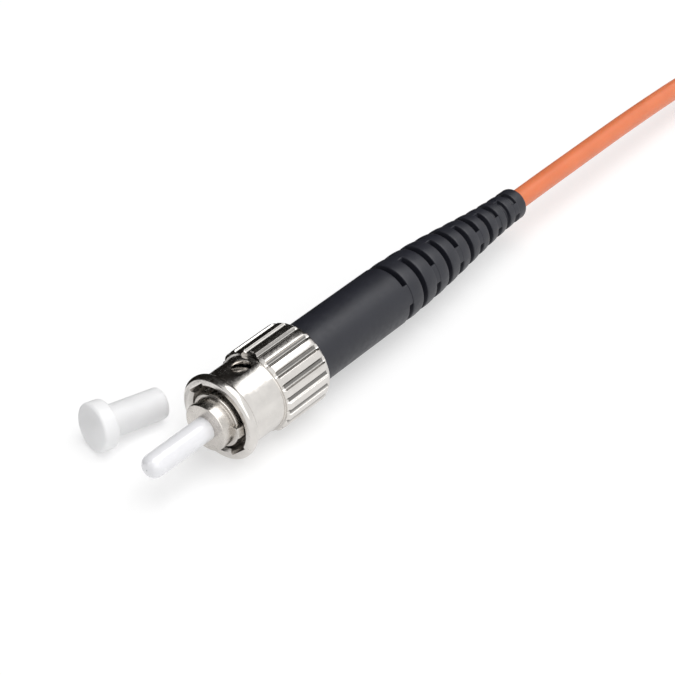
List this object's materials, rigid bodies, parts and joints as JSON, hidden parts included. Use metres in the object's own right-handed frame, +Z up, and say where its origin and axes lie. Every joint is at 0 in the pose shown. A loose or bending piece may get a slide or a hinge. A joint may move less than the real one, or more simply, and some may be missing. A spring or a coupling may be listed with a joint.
{
  "type": "bayonet fibre optic connector with lead",
  "caption": "Bayonet fibre connector: ceramic ferrule, sprung metal coupling nut, slotted strain relief boot, orange lead and loose white dust cap.",
  "frame": {"origin": "on the connector's axis in the barrel's front face, where the ferrule comes out", "axes": "+Y along the axis towards the boot and the lead, the ferrule points to -Y, +Z up"},
  "size_m": [0.0226, 0.1816, 0.0103],
  "materials": {
    "ceramic": "polished",
    "glass_fibre": "polished",
    "nickel": "nickel plated",
    "steel": "drawn",
    "boot_rubber": "matte",
    "jacket": "satin",
    "buffer_plastic": "satin",
    "yarn": "fibrous",
    "cap_plastic": "translucent white",
    "tie_fabric": "woven"
  },
  "bodies": {
    "root": {"ferrule": "ceramic", "fibre": "glass_fibre", "barrel": "nickel", "lead_in_tube": "buffer_plastic", "buffer": "buffer_plastic", "aramid_yarn": "yarn", "crimp_sleeve": "nickel", "retaining_ring": "steel", "spring": "steel", "boot": "boot_rubber", "dust_cap": "cap_plastic", "cable": "jacket", "hank": "jacket", "hank_tie": "tie_fabric"},
    "nut_slider": {"thrust_washer": "steel"},
    "nut": {"coupling_nut": "nickel"}
  },
  "joints": [
    {"name": "nut_slide", "type": "slide", "parent": "root", "child": "nut_slider", "axis": [0, -1, 0], "range_m": [0, 0.002], "stiffness_N_per_m": 500, "deforming": ["spring"]},
    {"name": "nut_turn", "type": "hinge", "parent": "nut_slider", "child": "nut", "pos_m": [0, 0.0117, 0], "axis": [0, 1, 0], "continuous": true}
  ]
}
